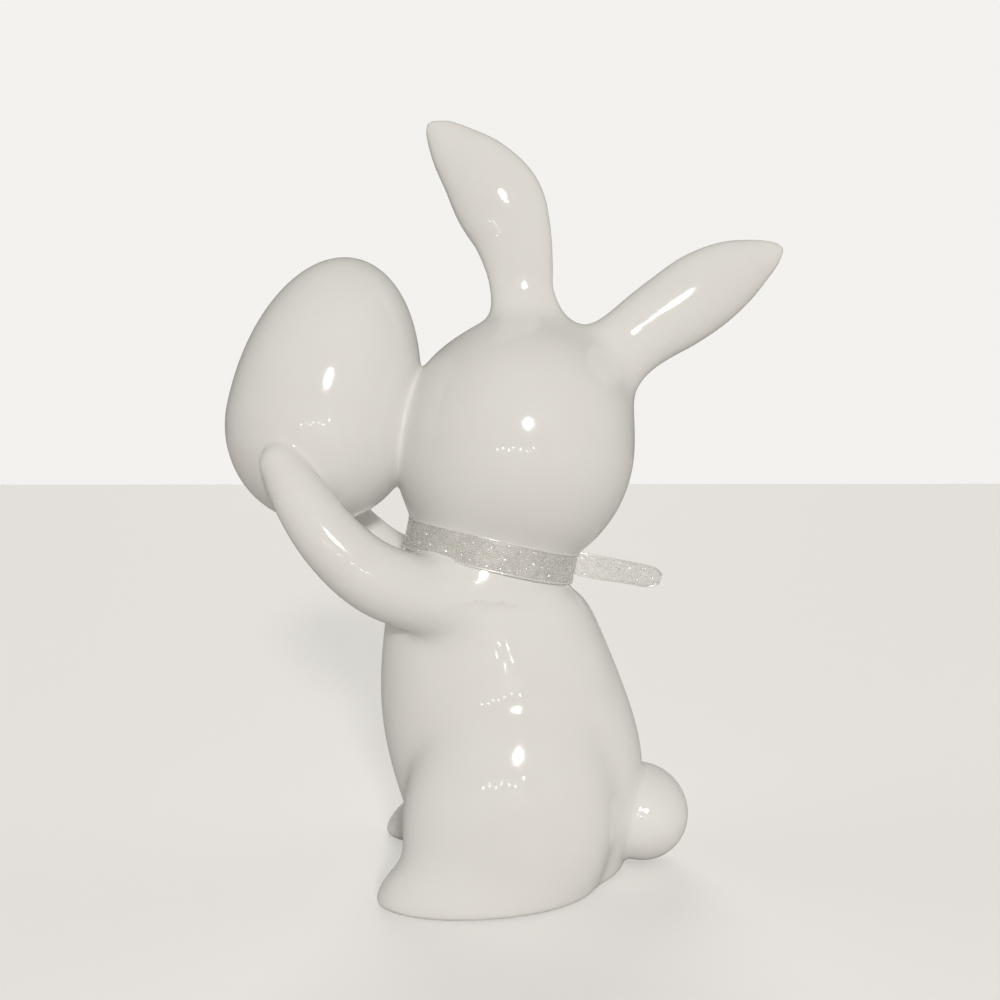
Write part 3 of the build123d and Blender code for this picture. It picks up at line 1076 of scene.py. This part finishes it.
def make_knot(thread):
    """The knot: a pleated turn of ribbon wrapped over the place where the ends cross."""
    middle, outward, tangent = knot_frame()
    around, wide = KNOT_POINTS_AROUND, KNOT_POINTS_ACROSS
    points = []
    for i in range(around):
        angle = 2 * math.pi * i / around
        for k in range(wide):
            place = 2 * k / (wide - 1) - 1
            wander = 0.8 * math.sin(angle * 2)
            pleat = 1 + KNOT_PLEAT_DEPTH * math.cos(place * KNOT_PLEAT_PITCH + wander)
            belly = math.sqrt(max(1 - 0.5 * place**4, 0)) * pleat
            rim = 1 - 0.25 * abs(place) ** 6
            points.append(
                middle
                + outward * (math.cos(angle) * KNOT_HALF_DEPTH * belly * rim)
                + NECK_AXIS * (math.sin(angle) * KNOT_HALF_HEIGHT * belly * rim)
                + tangent * (place * KNOT_WIDTH / 2)
            )
    faces = []
    for i in range(around):
        j = (i + 1) % around
        for k in range(wide - 1):
            faces.append((i * wide + k, i * wide + k + 1, j * wide + k + 1, j * wide + k))
    faces.append([i * wide for i in range(around)])
    faces.append([i * wide + wide - 1 for i in range(around)][::-1])
    wrap = new_object("ribbon_knot_wrap", np.array(points), faces)
    finish_piece(wrap, thread, "ribbon", "ribbon_knot")


# Scene

def floor_material():
    """A plain pale floor that takes the object's shadow. It looks paler to the camera than the
    light that it gives back, so that it doesn't light the object from below."""
    material, tree, shader = node_material("pale_floor")
    shader.inputs["Base Color"].default_value = (0.52, 0.51, 0.49, 1.0)
    shader.inputs["Roughness"].default_value = 0.7
    shader.inputs["Specular IOR Level"].default_value = 0.1
    shader.inputs["Emission Color"].default_value = (1.0, 0.985, 0.96, 1.0)
    path = tree.nodes.new("ShaderNodeLightPath")
    glow = maths(tree, "MULTIPLY", path.outputs["Is Camera Ray"], FLOOR_GLOW)
    tree.links.new(glow, shader.inputs["Emission Strength"])
    return material


def make_floor():
    corners = np.array([(-1, -1, 0), (1, -1, 0), (1, 1, 0), (-1, 1, 0)]) * FLOOR_SIZE
    floor = new_object("floor", corners - [0, 0, FLOOR_DROP], [(0, 1, 2, 3)])
    floor.data.materials.append(floor_material())


def towards(azimuth, elevation):
    """The way to a lamp, by its angle from +X towards +Y and its angle up."""
    a, e = math.radians(azimuth), math.radians(elevation)
    return Vector((math.cos(a) * math.cos(e), math.sin(a) * math.cos(e), math.sin(e)))


def add_lamp(name, kind, azimuth, elevation, power, size, colour, glints=True):
    """A sun or a small disk lamp that shines on the figurine from a direction. Size is a sun's
    angle or a disk's diameter. Without glints it doesn't show in the glaze."""
    lamp = bpy.data.lights.new(name, kind)
    lamp.energy = power
    lamp.color = colour
    if kind == "SUN":
        lamp.angle = math.radians(size)
    else:
        lamp.shape = "DISK"
        lamp.size = size
    thing = bpy.data.objects.new(name, lamp)
    way = towards(azimuth, elevation)
    thing.location = LIGHT_TARGET + way
    thing.visible_glossy = glints
    thing.rotation_euler = way.to_track_quat("Z", "Y").to_euler()
    bpy.context.scene.collection.objects.link(thing)


def make_world():
    """A pale surround, whiter to the camera than the light that it gives."""
    world = bpy.data.worlds.new("surround")
    bpy.context.scene.world = world
    world.use_nodes = True
    tree = world.node_tree
    tree.nodes.clear()
    output = tree.nodes.new("ShaderNodeOutputWorld")
    path = tree.nodes.new("ShaderNodeLightPath")
    light = tree.nodes.new("ShaderNodeBackground")
    seen = tree.nodes.new("ShaderNodeBackground")
    mix = tree.nodes.new("ShaderNodeMixShader")
    light.inputs["Color"].default_value = (0.97, 0.93, 0.86, 1.0)
    light.inputs["Strength"].default_value = SURROUND_LIGHT
    seen.inputs["Color"].default_value = (0.90, 0.885, 0.86, 1.0)
    seen.inputs["Strength"].default_value = 1.0
    tree.links.new(path.outputs["Is Camera Ray"], mix.inputs[0])
    tree.links.new(light.outputs[0], mix.inputs[1])
    tree.links.new(seen.outputs[0], mix.inputs[2])
    tree.links.new(mix.outputs[0], output.inputs["Surface"])


def make_lights():
    """A key light beside the camera, broad suns from the other sides that don't show in the
    glaze, and a row of small lamps that glint in it."""
    add_lamp("key", "SUN", KEY_AZIMUTH, KEY_HEIGHT, KEY_LIGHT, KEY_SPREAD, KEY_COLOUR)
    for name, azimuth, power in (
        ("far", 178.0, FAR_LIGHT), ("front", 265.0, FRONT_LIGHT), ("rear", 100.0, REAR_LIGHT),
    ):
        add_lamp(name, "SUN", azimuth, SUN_HEIGHT, power, SUN_SPREAD, SUN_COLOUR, glints=False)
    for index, (azimuth, elevation) in enumerate(GLINTS):
        name = f"glint_{index}"
        add_lamp(name, "AREA", azimuth, elevation, GLINT_LIGHT, GLINT_SIZE, GLINT_COLOUR)


def make_camera():
    """The photograph's viewpoint, close to the figurine and level with its head."""
    turn, pitch = math.radians(CAMERA_AZIMUTH), math.radians(CAMERA_PITCH)
    flat = Vector((-math.sin(turn), math.cos(turn), 0.0))
    ahead = flat * math.cos(pitch) - Vector((0, 0, math.sin(pitch)))
    data = bpy.data.cameras.new("camera")
    data.sensor_width = SENSOR_WIDTH
    data.lens = data.sensor_width * FOCAL_PIXELS / PHOTO_WIDTH
    data.clip_start = NEAREST_SEEN
    camera = bpy.data.objects.new("camera", data)
    camera.location = -flat * CAMERA_DISTANCE + Vector((0, 0, CAMERA_HEIGHT))
    camera.rotation_euler = ahead.to_track_quat("-Z", "Y").to_euler()
    bpy.context.scene.collection.objects.link(camera)
    bpy.context.scene.camera = camera


def main():
    bpy.context.scene.view_settings.view_transform = "Standard"
    make_camera()
    make_world()
    make_lights()
    make_floor()
    glaze, cloth = glaze_material(), ribbon_material()
    thread, flake = thread_material(), glitter_material()
    make_castings(glaze)
    make_band(cloth, thread, flake)
    make_knot(thread)
    tail_materials = {"cloth": cloth, "thread": thread, "flake": flake}
    make_tail(
        "ribbon_tail_back", BACK_TAIL_LENGTH, turn=42.0, rise=3.0, sweep=95 * mm, **tail_materials
    )
    make_tail(
        "ribbon_tail_side", SIDE_TAIL_LENGTH, turn=-50.0, rise=-9.0, sweep=80 * mm,
        **tail_materials,
    )


main()
